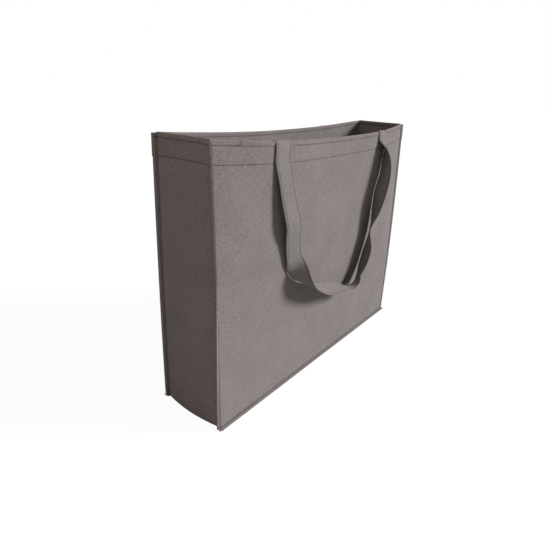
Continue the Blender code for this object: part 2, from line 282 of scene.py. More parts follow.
def hem_relief(x, below_rim):
    """Grooves that the two hem rows pull into the cloth, and the puckers between them."""
    groove = sum(np.exp(-(((below_rim - row) / GROOVE_WIDTH) ** 2)) for row in (UPPER_ROW, LOWER_ROW))
    between = ease(below_rim, 0.002, 0.008) * (1 - ease(below_rim, LOWER_ROW, LOWER_ROW + 0.006))
    pucker = np.sin((x + 0.5 * below_rim) / 0.0021 + 2.2 * np.sin(x / 0.017))
    pucker = pucker + 0.7 * np.sin((x - 0.7 * below_rim) / 0.0043 + 1.5 * np.sin(x / 0.029))
    return groove, PUCKER_HEIGHT * pucker * between


def steps(low, high, pitch, extras=()):
    count = max(2, round((high - low) / pitch) + 1)
    within = [place for place in extras if low <= place <= high]
    return np.unique(np.round(np.concatenate([np.linspace(low, high, count), within]), 6))


def row_places(top):
    """Heights of the fine mesh rows that the grooves need."""
    offsets = (-0.0013, -0.0006, 0.0, 0.0006, 0.0013)
    return [top - row + offset for row in (UPPER_ROW, LOWER_ROW) for offset in offsets]


def turned(t):
    """For cloth up to the rim and over it: height on the outer or inner layer, and how far round the fold."""
    beyond = np.maximum(t - rim_line, 0)
    angle = np.minimum(beyond / fold_radius, math.pi)
    down = np.maximum(beyond - fold_length, 0)
    height = np.where(beyond > 0, rim_line + fold_radius * np.sin(angle) - down, t)
    return height, angle


def hem_steps():
    """Mesh rows over the fold of the rim and down the turned hem."""
    inner_top = rim_line + fold_length
    fold = [rim_line + fold_length * share for share in (0.17, 0.33, 0.5, 0.67, 0.83)]
    inner_rows = [inner_top + (rim_line - place) for place in row_places(rim_line)]
    return np.concatenate([fold, steps(inner_top, inner_top + HEM, ROW_STEP, inner_rows)])


def directions(points, axis):
    """Unit directions of a grid's lines at each point, halfway between the segments on both sides."""
    segments = np.diff(points, axis=axis)
    segments /= np.maximum(np.linalg.norm(segments, axis=2, keepdims=True), 1e-9)
    first, last = np.take(segments, [0], axis), np.take(segments, [-1], axis)
    both = np.concatenate([first, segments], axis) + np.concatenate([segments, last], axis)
    return both / np.maximum(np.linalg.norm(both, axis=2, keepdims=True), 1e-9)


def face_direction(points):
    across = np.cross(directions(points, 1), directions(points, 0))
    return across / np.maximum(np.linalg.norm(across, axis=2, keepdims=True), 1e-9)


def link_mesh(name, corners, faces, finish, flat_places=None, marks=None):
    """A mesh object from points and faces, with its place on the flat cloth as a UV map in metres."""
    mesh = bpy.data.meshes.new(name)
    mesh.from_pydata(corners.tolist(), [], faces)
    if flat_places is not None:
        layer = mesh.uv_layers.new(name="yarns")
        order = np.zeros(len(mesh.loops), int)
        mesh.loops.foreach_get("vertex_index", order)
        layer.data.foreach_set("uv", flat_places[order].astype(np.float32).ravel())
    for key, values in (marks or {}).items():
        mark = mesh.attributes.new(key, "FLOAT", "POINT")
        mark.data.foreach_set("value", values.astype(np.float32).ravel())
    mesh.materials.append(finish)
    mesh.shade_smooth()
    mesh.set_sharp_from_angle(angle=SHARP_EDGE)
    made = bpy.data.objects.new(name, mesh)
    bpy.context.scene.collection.objects.link(made)
    return made


def sheet_faces(rows, columns, offset=0):
    """Faces of a closed sheet on two grids of points, with its four edges."""
    grid = np.arange(rows * columns).reshape(rows, columns) + offset
    under = grid + rows * columns
    a, b, c, d = grid[:-1, :-1], grid[:-1, 1:], grid[1:, 1:], grid[1:, :-1]
    faces = np.stack([a, b, c, d], 2).reshape(-1, 4).tolist()
    faces += np.stack([x + rows * columns for x in (d, c, b, a)], 2).reshape(-1, 4).tolist()
    loop = [*grid[0, :-1], *grid[:-1, -1], *grid[-1, :0:-1], *grid[:0:-1, 0]]
    below = [*under[0, :-1], *under[:-1, -1], *under[-1, :0:-1], *under[:0:-1, 0]]
    for k in range(len(loop)):
        n = (k + 1) % len(loop)
        faces.append([int(loop[n]), int(loop[k]), int(below[k]), int(below[n])])
    return faces


def cloth_sheet(name, grids, finish):
    """One closed layer of cloth for each (middle points, flat places, painted groove shade, wear marks) grid.
    """
    corners, flat, painted_shade_mark, wear_mark, faces = [], [], [], [], []
    for points, places, rows, wear in grids:
        out = face_direction(points) * CLOTH / 2
        faces += sheet_faces(*points.shape[:2], offset=sum(len(c) for c in corners))
        corners += [(points + out).reshape(-1, 3), (points - out).reshape(-1, 3)]
        flat += [places.reshape(-1, 2)] * 2
        painted_shade_mark += [rows.ravel()] * 2
        wear_mark += [wear.ravel()] * 2
    # The stitch_row mark is painted shade, for the grooves of stitch rows and the creases beside seams.
    marks = {"stitch_row": np.concatenate(painted_shade_mark), "wear": np.concatenate(wear_mark)}
    return link_mesh(name, np.concatenate(corners), faces, finish, np.concatenate(flat), marks)


def cloth_finish(name, pale, dark):
    """Plain weave in two yarn tones: crossing slubs, fine over-and-under, painted shade in stitch grooves and
    seam creases, paler wear.
    """
    made, shader, start = new_material(name)
    place = start.add("UVMap", {"uv_map": "yarns"}, {})

    def yarns(across, along, detail, seed):
        spread = {"Vector": place, "Location": (seed, seed, 0), "Scale": (across, along, 1)}
        scaled = start.add("Mapping", {}, spread)
        return start.add("TexNoise", {}, {"Vector": scaled, "Scale": 1.0, "Detail": detail, "Roughness": 0.6})

    warp = yarns(1250, 120, 2.0, 3.1)
    weft = yarns(110, 1350, 2.0, 7.7)
    blotch = yarns(560, 520, 2.0, 1.3)
    slub_across = yarns(240, 900, 1.0, 2.2)
    slub_along = yarns(900, 240, 1.0, 4.6)
    cloud = yarns(26, 22, 2.0, 5.9)
    place_across = start.add("SeparateXYZ", {}, {0: place})
    place_along = Signal(start.tree, place_across.socket.node.outputs[1])
    wave_across = start.add("Math", {"operation": "SINE"}, {0: place_across * (2 * math.pi / YARN_PITCH)})
    wave_along = start.add("Math", {"operation": "SINE"}, {0: place_along * (2 * math.pi / YARN_PITCH)})
    weave = wave_across * wave_along
    # Painted shade: the stitch_row mark darkens the cloth along the grooves that stitch rows pull in and in
    # the creases beside seams. The wear mark makes rubbed edges a little paler.
    painted_groove_shade = start.add("Attribute", {"attribute_name": "stitch_row"}, {}, "Fac")
    worn = start.add("Attribute", {"attribute_name": "wear"}, {}, "Fac")
    tone = warp * 0.34 + weft * 0.34 + blotch * 0.46 + (slub_across + slub_along) * 0.48
    tone = tone + cloud * 0.24 + weave * 0.05 - 0.65
    tone = tone + worn * 0.03 - painted_groove_shade * 0.36
    middle = [(a + b) / 2 for a, b in zip(dark, pale)]
    colour = start.add("ValToRGB", {"stops": ((0.18, dark), (0.50, middle), (0.82, pale))}, {0: tone})
    rough = 0.96 - warp * 0.10 - worn * 0.05
    relief = warp * 0.5 + weft * 0.5 + weave * 0.35 + blotch * 0.5
    bump = start.add("Bump", {}, {"Strength": 0.55, "Distance": 0.00028, "Height": relief})
    feed(start, shader, Base_Color=colour, Roughness=rough, Normal=bump)
    shader.inputs["Specular IOR Level"].default_value = 0.22
    shader.inputs["Sheen Weight"].default_value = 0.12
    shader.inputs["Sheen Roughness"].default_value = 0.6
    return made


bag_cloth = cloth_finish("woven_cloth", CLOTH_PALE, CLOTH_DARK)


def side_reach(z):
    return ALLOWANCE + HEM_EXTRA * (z > TALL - HEM)


def allowance_direction(side, hand, z):
    lean = np.radians(np.interp(z, LEAN_HEIGHTS, LEAN[side, hand]))
    return hand * np.cos(lean), side * np.sin(lean)


def panel_points(side, c, a, t):
    """Middle of a panel's cloth. c runs from seam to seam, a out on an allowance, t up and over the rim."""
    height, angle = turned(np.maximum(t, FOOT))
    hand = np.sign(c)
    x = c * half_width(height)
    drop = rim_drop(side, x) * ease(height, 0.0, TALL - HEM)
    groove, pucker = hem_relief(x, TALL - height)
    inner = np.cos(angle)
    depth = panel_depth(side, x, height) - CLOTH / 2 - fold_radius * (1 - inner)
    depth = depth + (pucker - GROOVE_DEPTH * groove) * np.where(a > 0, 0, 1) * np.where(inner > 0, 1, -1)
    out_x, out_y = np.zeros_like(x), np.zeros_like(x)
    for which in (-1, 1):
        dx, dy = allowance_direction(side, which, height)
        out_x = np.where(hand == which, dx, out_x)
        out_y = np.where(hand == which, dy, out_y)
    foot = np.maximum(FOOT - t, 0)
    y = side * (depth + foot * FOOT_OUT)
    z = height - drop - foot * FOOT_DOWN
    return np.stack([x + out_x * a, y + out_y * a, z], 2), groove * np.where(a > 0, 0, 1)


def rim_wear(t):
    """Rubbed, paler cloth along the turned edge of the mouth."""
    past = rim_line + fold_length
    return ease(t, rim_line - 0.0012, rim_line + 0.0006) * (1 - ease(t, past, past + 0.002))


out_shares = np.array([0.12, 0.40, 0.70, 1.0])  # mesh lines along an allowance, from its seam to its edge
out_count = len(out_shares)
inner_columns = np.linspace(-1, 1, round(2 * FOOT_WIDTH / COLUMN_STEP) + 1)
near_edge = 1 - np.array(EDGE_COLUMNS) / FOOT_WIDTH
between_seams = np.sort(np.concatenate([inner_columns, near_edge, -near_edge]))
panel_columns = np.concatenate([np.full(out_count, -1.0), between_seams, np.full(out_count, 1.0)])
panel_shares = np.concatenate([out_shares[::-1], np.zeros(len(between_seams)), out_shares])
foot_steps = FOOT - ALLOWANCE * out_shares[::-1]
extra_steps = [FOOT + FOLD_SHADE, TALL - HEM - HEM_GAP, TALL - HEM + HEM_GAP, *row_places(TALL)]
body_steps = steps(FOOT, rim_line, ROW_STEP, extra_steps)
outer_steps = np.concatenate([foot_steps, body_steps])
hem_inside = np.concatenate([[rim_line], hem_steps()])

panels = {}
for side, end in ((-1, "front"), (1, "back")):
    pieces = []
    for columns, shares, up in (
        (panel_columns, panel_shares, outer_steps),
        (between_seams, np.zeros(len(between_seams)), hem_inside),
    ):
        c, t = np.meshgrid(columns, up)
        share = np.meshgrid(shares, up)[0]
        a = share * side_reach(np.minimum(t, TALL))
        points, groove = panel_points(side, c, a, t)
        flat = np.stack([c * FOOT_WIDTH + np.sign(c) * a + side, t], 2)
        wear = np.maximum(ease(share, 0.6, 1.0), rim_wear(t))
        wear = np.maximum(wear, ease(FOOT - t, 0.0025, 0.004))
        # Painted shade: the allowance's first line beside each seam and a narrow line at the fold of the foot
        # are marked as dark creases, along with the grooves of the hem rows.
        groove = np.maximum(groove, (share > 0) * (share < 0.2))
        groove = np.maximum(groove, (t < FOOT) * (t > FOOT - FOLD_SHADE))
        pieces.append((points, flat, groove, wear))
    outer, hem = pieces
    panels[end] = outer
    panel = cloth_sheet(f"{end}_panel_cloth", [outer, hem], bag_cloth)
    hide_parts(f"{end}_panel")
    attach(panel, f"{end}_panel_body")

# Gusset. One long strip of the same cloth runs down the left side, under the bag and up the right side. It
# is drawn inward along its middle, and its top ends are hemmed like the panels.
CREASE_AT = 0.2252  # half width at the crease
FOOT_BULGE = 0.0052  # the strip swells out where it turns under the bag
FOOT_ROUND = 0.0040
STRIP = 0.6  # share of the half depth where the seam strips end and the middle of the wall starts
WALL_PARTS = (("front_seam", -1.0, -STRIP), ("middle", -STRIP, STRIP), ("back_seam", STRIP, 1.0))
WALL_STEP = 0.0024
TUCK = 0.003  # the wall's cloth ends this far under the bag, where the base carries on
CREASE_SPREAD = 0.007  # half breadth of the cloth at the crease
SEAM_SPREAD = (0.030, 0.0405)  # and beside a seam
WALL_PATTERN = 3.0  # shifts the yarn pattern, so that no piece repeats another


def wall_points(hand, c, t):
    """Middle of a side wall's cloth. c runs from the front seam to the back one, t up and over the rim."""
    arc = np.clip((FOOT_ROUND - t) / FOOT_ROUND, 0, math.pi / 2)
    under = np.maximum(FOOT_ROUND - t - FOOT_ROUND * math.pi / 2, 0)
    height, angle = turned(np.maximum(t, FOOT_ROUND))
    groove, pucker = hem_relief(c * FOOT_DEPTH, TALL - height)
    y = c * (corner_depth(c, hand, height) - CLOTH)
    belly = 1 - c**2
    x = half_width(height) + (CREASE_AT - half_width(height)) * belly * ease(height, 0.0, 0.1)
    x = x + FOOT_BULGE * belly * (1 - ease(height, 0.0, 0.075))
    x = x + 0.0006 * np.sin(height / 0.027 + 2.0 * c + hand) * (1 - c**2) * ease(height, 0.03, 0.1)
    inner = np.cos(angle)
    x = x - CLOTH / 2 - fold_radius * (1 - inner)
    x = x + (pucker - GROOVE_DEPTH * groove) * np.where(inner > 0, 1, -1)
    x = x - FOOT_ROUND * (1 - np.cos(arc)) - under
    z = height - FOOT_ROUND * np.sin(arc)
    z = np.maximum(z, CLOTH / 2 + 0.0001)
    return np.stack([hand * x, y, z], 2), groove


wall_foot = FOOT_ROUND - FOOT_ROUND * math.pi / 2
wall_steps = np.concatenate([
    [wall_foot - TUCK],
    np.linspace(wall_foot, FOOT_ROUND, 7),
    steps(FOOT_ROUND, rim_line, ROW_STEP, row_places(TALL))[1:],
    hem_steps(),
])

for hand, place in ((-1, "left"), (1, "right")):
    bodies = {"front": f"{place}_front_wall", "back": f"{place}_back_wall"}
    for part, low, high in WALL_PARTS:
        columns = np.linspace(low, high, round((high - low) * FOOT_DEPTH / WALL_STEP) + 1)
        c, t = np.meshgrid(columns, wall_steps)
        points, groove = wall_points(hand, c, t)
        flat = np.stack([c * FOOT_DEPTH + WALL_PATTERN + hand, t], 2)
        wall = cloth_sheet(f"gusset_{place}_{part}_cloth", [(points, flat, groove, rim_wear(t))], bag_cloth)
        x = hand * FOOT_WIDTH
        if part == "middle":
            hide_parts(f"gusset_{place}_front", f"gusset_{place}_back")
            near, far = (x, -CREASE_SPREAD, 0), (x, CREASE_SPREAD, 0)
            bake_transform(wall)
            continue
        if part == "front_seam":
            near, far = (x, -SEAM_SPREAD[1], 0), (x, -SEAM_SPREAD[0], 0)
            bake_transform(wall)
        elif place == "left":
            near, far = (x, SEAM_SPREAD[0], 0), (x, SEAM_SPREAD[1], 0)
            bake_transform(wall)
        else:
            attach(wall, bodies["back"])

# Base. The same strip under the bag. Its mitred ends leave a dart of cloth at each corner.
BASE_LEVEL = 0.0008
BASE_SWELL = 0.0004
BASE_CREASE_SPREAD = 0.005
BASE_PATTERN = 6.0
MITRE_ROOM = 0.005
DART_FROM_WALL = 0.0035
DART_FROM_MIDDLE = 0.0004
DART_TIP = 0.03  # share of its depth where the dart's point is cut off

base_half = FOOT_DEPTH - 2 * CLOTH
c, row = np.meshgrid(np.linspace(-1, 1, 121), np.linspace(-1, 1, 41))
base_x = c * (FOOT_WIDTH - MITRE_ROOM - (base_half - np.abs(row) * base_half))
base_y = row * base_half
swell = BASE_SWELL * (1 + np.sin(base_x / 0.04) * np.cos(base_y / 0.02))
base_grid = np.stack([base_x, base_y, BASE_LEVEL + swell * (1 - row**2)], 2)
base = cloth_sheet("base_cloth", [(base_grid, base_grid[:, :, :2] + BASE_PATTERN, 0 * c, 0 * c)], bag_cloth)
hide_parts("base_front", "base_back")
near, far = (0, -BASE_CREASE_SPREAD, 0), (0, BASE_CREASE_SPREAD, 0)
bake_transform(base)
for hand, place in ((-1, "left"), (1, "right")):
    for side, end in ((-1, "front"), (1, "back")):
        share, row = np.meshgrid(np.linspace(0, 1, 15), np.linspace(DART_TIP, 1, 15))
        y = (1 - row) * base_half + DART_FROM_MIDDLE
        wall_x = FOOT_WIDTH - DART_FROM_WALL
        mitre_x = FOOT_WIDTH - MITRE_ROOM - row * base_half
        x = wall_x + (mitre_x - wall_x) * share
        grid = np.stack([hand * x, side * y, BASE_LEVEL + 0 * x], 2)
        layer = (grid, grid[:, :, :2] + BASE_PATTERN, 0 * x, 0 * x)
        dart = cloth_sheet(f"base_dart_{place}_{end}_cloth", [layer], bag_cloth)
        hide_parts(f"base_corner_{place}_{end}")
        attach(dart, f"{place}_{end}_corner")

# Seam allowances of the gusset. They lie against the allowances of the panels and are sewn to them, so each
# panel carries its own: down one side, along the bottom and up the other side.
LAYER_GAP = 0.00015
ALLOWANCE_PATTERN = 9.0

# Parts of a panel's mesh that the second layer covers: its left side, its right side and its bottom.
upward_rows, edge_lines = slice(out_count - 1, None), out_count + 1
edge_windows = (
    (upward_rows, slice(0, edge_lines)),
    (upward_rows, slice(-edge_lines, None)),
    (slice(0, edge_lines), slice(2, -2)),
)
for side, end in ((-1, "front"), (1, "back")):
    points, flat, groove, wear = panels[end]
    layer = points + side * face_direction(points) * (CLOTH + LAYER_GAP)
    grids = []
    for window in edge_windows:
        grids.append((layer[window], flat[window] + ALLOWANCE_PATTERN, groove[window], wear[window]))
    allowance = cloth_sheet(f"{end}_seam_allowance", grids, bag_cloth)
    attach(allowance, f"{end}_panel_body")

# Stitching. Dark polyester thread in lock stitches about 3 mm long, pulled down into the cloth. Two rows hold
# the hem round the mouth, and one row closes each panel's three sewn edges.
STITCH_PITCH = 0.0033
STITCH_LENGTH = 0.0025
THREAD = 0.00055
THREAD_SIDES = 6
ROW_SHORT = 0.001  # a hem row stops this far from the side seams
THREAD_DARK = (0.016, 0.013, 0.012)
THREAD_PALE = (0.052, 0.043, 0.039)

# Along a stitch: share of its length, share of the thread's thickness, and height above the cloth's face.
STITCH_SHAPE = (
    (0.0, 0.10, -0.00030), (0.12, 0.85, 0.00004), (0.5, 1.0, 0.00014), (0.88, 0.85, 0.00004),
    (1.0, 0.10, -0.00030),
)

thread_finish, shader, start = new_material("sewing_thread")
spot = start.add("TexCoord", {}, {}, "Object")
twist = {"Vector": spot, "Scale": 900.0, "Distortion": 1.0}
ply = start.add("TexWave", {"bands_direction": "DIAGONAL"}, twist, 1)
fade = start.add("TexNoise", {}, {"Vector": spot, "Scale": 160.0, "Detail": 2.0})
tone = ply * 0.35 + fade * 0.6
colour = start.add("ValToRGB", {"stops": ((0.2, THREAD_DARK), (0.8, THREAD_PALE))}, {0: tone})
bump = start.add("Bump", {}, {"Strength": 0.5, "Distance": 0.0001, "Height": ply})
feed(start, shader, Base_Color=colour, Roughness=0.62 - ply * 0.12, Normal=bump)
shader.inputs["Sheen Weight"].default_value = 0.15


def stitch_row(path, out, pitch=STITCH_PITCH, length=STITCH_LENGTH):
    """Stitches along a path on the cloth's face, each with its ends pulled down into the cloth."""
    path, out = np.asarray(path, float), np.asarray(out, float)
    lengths = np.concatenate([[0], np.cumsum(np.linalg.norm(np.diff(path, axis=0), axis=1))])
    count = int((lengths[-1] - length) / pitch) + 1
    share, thickness, lift = np.array(STITCH_SHAPE).T
    made = []
    for k in range(count):
        places = k * pitch + length * share
        middle = np.stack([np.interp(places, lengths, path[:, axis]) for axis in range(3)], 1)
        up = np.stack([np.interp(places, lengths, out[:, axis]) for axis in range(3)], 1)
        up /= np.linalg.norm(up, axis=1, keepdims=True)
        along = middle[-1] - middle[0]
        along /= np.linalg.norm(along)
        made.append((middle + up * lift[:, None], np.cross(up, along), up, thickness * THREAD / 2))
    return made


def stitch_mesh(name, rows):
    """All the stitches of some rows as one mesh, each a short closed tube of thread."""
    corners, faces = [], []
    angles = np.arange(THREAD_SIDES) * 2 * math.pi / THREAD_SIDES
    cosines, sines = np.cos(angles)[:, None], np.sin(angles)[:, None]
    for middle, across, up, thick in [stitch for row in rows for stitch in row]:
        first = len(corners) * THREAD_SIDES
        rings = len(middle)
        for k in range(rings):
            corners.append(middle[k] + thick[k] * (cosines * across[k] + sines * up[k]))
        for k in range(rings - 1):
            for n in range(THREAD_SIDES):
                a = first + THREAD_SIDES * k + n
                b = first + THREAD_SIDES * k + (n + 1) % THREAD_SIDES
                faces.append((a, b, b + THREAD_SIDES, a + THREAD_SIDES))
        last = first + THREAD_SIDES * (rings - 1)
        faces.append(tuple(first + n for n in reversed(range(THREAD_SIDES))))
        faces.append(tuple(last + n for n in range(THREAD_SIDES)))
    return link_mesh(name, np.concatenate(corners), faces, thread_finish)


def panel_hem_row(side, below_rim, inner):
    """Path of a hem row on a panel's outer face or, if inner, on the turned hem."""
    x = np.linspace(-1, 1, 240) * (half_width(TALL) - ROW_SHORT)
    z = TALL - below_rim + 0 * x
    face = panel_depth(side, x, z) - (2 * CLOTH + HEM_GAP if inner else 0)
    groove, pucker = hem_relief(x, below_rim + 0 * x)
    face = face + (pucker - GROOVE_DEPTH * groove) * (-1 if inner else 1)
    out = np.stack([0 * x, side * (-1 if inner else 1) + 0 * x, 0 * x], 1)
    return np.stack([x, side * face, z - rim_drop(side, x)], 1), out


def seam_path(side, lift):
    """The closing seam on an allowance: down the left side, along the bottom and up the right side."""
    points = panels["front" if side < 0 else "back"][0]
    normal = -side * face_direction(points)
    left, right, low = out_count - 1, -out_count, out_count - 1
    rows = range(len(points) - 3, 1, -1)
    path = [(points[r, left], normal[r, left]) for r in rows]
    path += [(points[low, k], normal[low, k]) for k in range(left, points.shape[1] - left)]
    path += [(points[r, right], normal[r, right]) for r in reversed(rows)]
    return np.array([p + n * lift for p, n in path]), np.array([n * np.sign(lift) for p, n in path])


for side, end in ((-1, "front"), (1, "back")):
    for row_name, below in (("upper", UPPER_ROW), ("lower", LOWER_ROW)):
        rows = [stitch_row(*panel_hem_row(side, below, inner)) for inner in (False, True)]
        piece = stitch_mesh(f"{end}_hem_stitches_{row_name}", rows)
        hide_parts(f"{end}_hem_thread_{row_name}")
        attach(piece, f"{end}_panel_body")
    rows = [stitch_row(*seam_path(side, lift)) for lift in (CLOTH / 2, -(CLOTH * 1.5 + LAYER_GAP))]
    piece = stitch_mesh(f"{end}_seam_stitches", rows)
    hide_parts(f"{end}_seam_thread")
    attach(piece, f"{end}_panel_body")

for hand, place in ((-1, "left"), (1, "right")):
    for part, low, high in WALL_PARTS:
        rows = []
        for below in (UPPER_ROW, LOWER_ROW):
            c, t = np.meshgrid(np.linspace(low, high, 30), [TALL - below, TALL - below + 0.001])
            for inner in (False, True):
                points, groove = wall_points(hand, c, t)
                shift = CLOTH / 2 if not inner else -(CLOTH * 1.5 + HEM_GAP)
                path = points[0] + np.array([hand * shift, 0, 0])
                out = np.zeros_like(path)
                out[:, 0] = -hand if inner else hand
                rows.append(stitch_row(path, out))
        piece = stitch_mesh(f"gusset_{place}_{part}_stitches", rows)
        x = hand * FOOT_WIDTH
        if part == "middle":
            walls = (f"gusset_{place}_front", f"gusset_{place}_back")
            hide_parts(*[f"{wall}_hem_thread_{row}" for wall in walls for row in ("upper", "lower")])
            near, far = (x, -CREASE_SPREAD, 0), (x, CREASE_SPREAD, 0)
            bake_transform(piece)
        elif part == "front_seam":
            near, far = (x, -SEAM_SPREAD[1], 0), (x, -SEAM_SPREAD[0], 0)
            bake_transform(piece)
        elif place == "left":
            near, far = (x, SEAM_SPREAD[0], 0), (x, SEAM_SPREAD[1], 0)
            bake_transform(piece)
        else:
            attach(piece, f"{place}_back_wall")

# Handles. Each is a band of the same cloth folded in four and stitched along both edges. The front one's
# ends are caught behind the hem, and it comes up over the rim, hangs outside and turns on its way round.
# The back one bends over at the top of its sewn ends, which have their own section below.
BAND_WIDTH = 0.028
BAND_THICK = 0.0020
BAND_ROW = 0.79  # place of a stitch row, as a share of the half width
ROW_LEVEL = 0.74  # and its height above the band's middle, as a share of the half thickness
ROW_SHADE = 0.035  # breadth of its painted shade line, as a share of the half width
BAND_STEP = 0.0028
BAND_TAIL = 0.024  # the front band's ends reach this far down behind the hem
BAND_GAP = 0.0003  # between the band and the hem behind it, and between it and the rim
OUTER_GAP = 0.0004  # between the band and the panel's face in front of it
HANG_GAP = 0.0001  # and a little more where it hangs straight
CREST_HALF = 0.0017  # half breadth of the crest where it passes over the rim
CREST_FALL = 0.0004
BEND_FOOT = (0.0015, 0.0018)  # the bend's inner and outer foot lie this far below the rim
BEND_SPREAD = 0.0016  # a distance inside the band's two faces at the rim
TIGHT_BEND = 0.004  # stations closer than this get more rings between them
PATCH_HEIGHT = 0.33  # height of the back handle's sewn ends
PATCH_LEVEL = 0.0021  # middle of the sewn end above the panel's face
BACK_BEND = 0.3405  # height of the back handle's bend
BACK_HANG = 0.0034  # the hanging part lies this far outside the sewn end
LEG_PLACES = (0.325, 0.334)  # heights at which the left and the right leg hang straight
LEG_SLACK = 0.0007  # the right leg stands off a little further
CLEAR_ABOVE = 0.29  # above this height a band's route follows the place of its bend
BAND_PATTERN = 12.0
FACE_SHIFT = 0.05  # and the band's two faces show different parts of the pattern
BAND_PALE = (0.262, 0.236, 0.227)
BAND_DARK = (0.098, 0.085, 0.080)

rim_at_band = TALL - float(rim_drop(-1, np.array([STRAP_PLACE]))[0])
face_at_band = float(panel_depth(-1, STRAP_PLACE, TALL))
inside = face_at_band - 2 * CLOTH - HEM_GAP - BAND_THICK / 2 - BAND_GAP
outside = face_at_band + BAND_THICK / 2 + OUTER_GAP
over_rim = (inside + outside) / 2
crest = rim_at_band + BAND_THICK / 2 + BAND_GAP
back_face = float(panel_depth(1, STRAP_PLACE, PATCH_HEIGHT))

# Places along a hanging band, from its left leg to its right one: how far along X, how far out from the bag's
# middle plane, the height, and the direction across the band from its bag-side edge to its free edge.
BAND_ROUTE = (
    ((-0.122, 0.0565, 0.300), (1.0, 0.0, 0.0)),
    ((-0.116, 0.0600, 0.270), (1.0, 0.05, 0.0)),
    ((-0.110, 0.0632, 0.244), (1.0, 0.08, 0.0)),
    ((-0.104, 0.0592, 0.221), (1.0, 0.08, 0.0)),
    ((-0.098, 0.0580, 0.199), (1.0, 0.16, 0.0)),
    ((-0.092, 0.0632, 0.177), (0.55, 0.82, 0.12)),
    ((-0.077, 0.0666, 0.158), (0.02, 1.0, -0.02)),
    ((-0.052, 0.0665, 0.144), (-0.05, 0.95, -0.26)),
    ((-0.020, 0.0650, 0.133), (-0.17, 0.8, -0.55)),
    ((0.020, 0.0660, 0.122), (-0.16, 0.93, -0.26)),
    ((0.050, 0.0656, 0.112), (-0.5, 0.8, 0.25)),
    ((0.076, 0.0638, 0.114), (-0.75, 0.55, 0.35)),
    ((0.093, 0.0630, 0.135), (-0.65, 0.75, 0.15)),
    ((0.102, 0.0635, 0.158), (-0.63, 0.77, 0.0)),
    ((0.112, 0.0600, 0.195), (-0.9, 0.43, 0.0)),
    ((0.116, 0.0635, 0.225), (-0.6, 0.8, 0.0)),
    ((0.119, 0.0655, 0.250), (-0.4, 0.92, 0.0)),
    ((0.128, 0.0655, 0.280), (-0.5, 0.87, 0.0)),
    ((0.131, 0.0630, 0.303), (-0.65, 0.76, 0.0)),
    ((0.130, 0.0588, 0.322), (-0.9, 0.43, 0.0)),
)


def over_the_rim(x, across):
    """An end of the front band, from its sewn tail up behind the hem and over the rim."""
    bend = [(inside, rim_at_band - drop) for drop in (BAND_TAIL, BAND_TAIL / 2, BEND_FOOT[0])]
    bend += [(over_rim - CREST_HALF, crest - CREST_FALL), (over_rim, crest)]
    bend += [(over_rim + CREST_HALF, crest - CREST_FALL), (outside, rim_at_band - BEND_FOOT[1])]
    return [((x, out, height), across) for out, height in bend]


def round_the_bend(x, across):
    """An end of the back band, from the top of its sewn end round to where it hangs."""
    radius = BACK_HANG / 2
    middle = back_face + PATCH_LEVEL + radius
    turns = [math.pi * k / 4 for k in range(1, 5)]
    return [((x, middle - radius * math.cos(t), BACK_BEND + radius * math.sin(t)), across) for t in turns]


def band_route(end):
    """The whole route of a band: its left bend, the hanging part, and its right bend."""
    bend = over_the_rim if end == "front" else round_the_bend
    front_level = outside + HANG_GAP
    level = front_level if end == "front" else back_face + PATCH_LEVEL + BACK_HANG
    hanging = []
    for (x, out, height), across in BAND_ROUTE:
        out = out + level - front_level if height > CLEAR_ABOVE else out
        hanging.append(((x, out, height), across))
    start, finish = (1.0, 0.0, 0.0), (-1.0, 0.0, 0.0)
    route = bend(-STRAP_PLACE, start) + [((-STRAP_PLACE, level, LEG_PLACES[0]), start)] + hanging
    right_leg = ((STRAP_PLACE, level + LEG_SLACK, LEG_PLACES[1]), finish)
    return route + [right_leg] + bend(STRAP_PLACE, finish)[::-1]


def smooth_line(knots, values, places):
    """Cubic curve through values at knots, with slopes taken from the segments on both sides."""
    gaps = np.diff(knots)[:, None]
    slopes = np.diff(values, axis=0) / gaps
    inner = (slopes[:-1] * gaps[1:] + slopes[1:] * gaps[:-1]) / (gaps[1:] + gaps[:-1])
    tangents = np.concatenate([slopes[:1], inner, slopes[-1:]])
    k = np.clip(np.searchsorted(knots, places, side="right") - 1, 0, len(knots) - 2)
    gap = gaps[k]
    s = ((places - knots[k]) / gap[:, 0])[:, None]
    start, finish = values[k], values[k + 1]
    return (
        (2 * s**3 - 3 * s**2 + 1) * start
        + (s**3 - 2 * s**2 + s) * gap * tangents[k]
        + (3 * s**2 - 2 * s**3) * finish
        + (s**3 - s**2) * gap * tangents[k + 1]
    )


def tube_faces(count, around, turn=1):
    """Faces of a closed tube of rings and of its two ends. With turn=-1 they face the other way."""
    index = np.arange(count * around).reshape(count, around)
    following = np.roll(index, -1, axis=1)
    sides = np.stack([index[:-1], index[1:], following[1:], following[:-1]], 2).reshape(-1, 4)
    return sides[:, ::turn].tolist() + [index[0][::turn].tolist(), index[-1][::-turn].tolist()]


# From the band's middle to its edge: place and thickness, as shares of the half width and half thickness.
HALF_PROFILE = (
    (0.0, 1.03), (0.3, 1.02), (0.55, 1.0), (0.72, 0.98), (0.76, 0.90), (BAND_ROW, ROW_LEVEL), (0.82, 0.90),
    (0.86, 0.98), (0.93, 0.95), (0.975, 0.74), (0.995, 0.42), (1.0, 0.0),
)
band_profile = [(-place, thick) for place, thick in HALF_PROFILE[:0:-1]] + list(HALF_PROFILE)
ring_across = np.array([p[0] for p in band_profile] + [p[0] for p in band_profile[-2:0:-1]])
ring_thick = np.array([p[1] for p in band_profile] + [-p[1] for p in band_profile[-2:0:-1]])
band_flat = ring_across * BAND_WIDTH / 2 + (ring_thick > 0) * FACE_SHIFT + BAND_PATTERN
band_cloth = cloth_finish("band_cloth", BAND_PALE, BAND_DARK)

